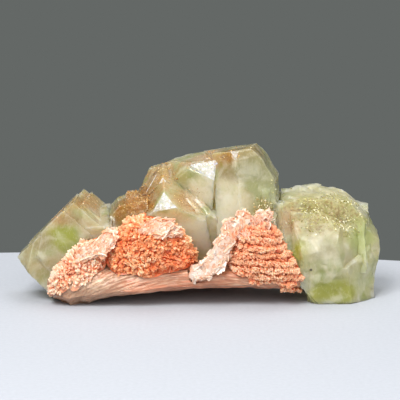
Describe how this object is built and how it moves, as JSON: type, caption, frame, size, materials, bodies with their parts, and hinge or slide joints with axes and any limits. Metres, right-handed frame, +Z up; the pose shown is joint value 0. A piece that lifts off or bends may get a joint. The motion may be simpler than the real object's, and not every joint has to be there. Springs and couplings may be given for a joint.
{
  "type": "apophyllite cluster",
  "caption": "Cluster of pale green blocky apophyllite crystals fanned out on a low crust of peach stilbite, free-standing on a natural base.",
  "frame": {"origin": "bottom centre of the whole specimen's bounding box, at the table", "axes": "+X along the specimen's longest extent, to the right seen from the front; +Y from the stilbite front to the back; +Z up"},
  "size_m": [0.1102, 0.0388, 0.0461],
  "materials": {
    "apophyllite": "vitreous, milky, rough in places",
    "stilbite_peach": "granular, slightly shiny",
    "stilbite_cream": "silky, fibrous",
    "stilbite_pearl": "pearly"
  },
  "bodies": {
    "root": {"apophyllite_left_crystals": "apophyllite", "apophyllite_centre_crystals": "apophyllite", "apophyllite_right_crystal": "apophyllite", "stilbite_blades_left": "stilbite_pearl", "stilbite_blades_top": "stilbite_pearl", "stilbite_blades_centre": "stilbite_pearl", "stilbite_blades_right": "stilbite_pearl", "stilbite_matrix": "stilbite_cream", "stilbite_crust_left": "stilbite_peach", "stilbite_crust_centre": "stilbite_peach", "stilbite_crust_right": "stilbite_peach", "stilbite_crust_back": "stilbite_peach"}
  },
  "joints": []
}
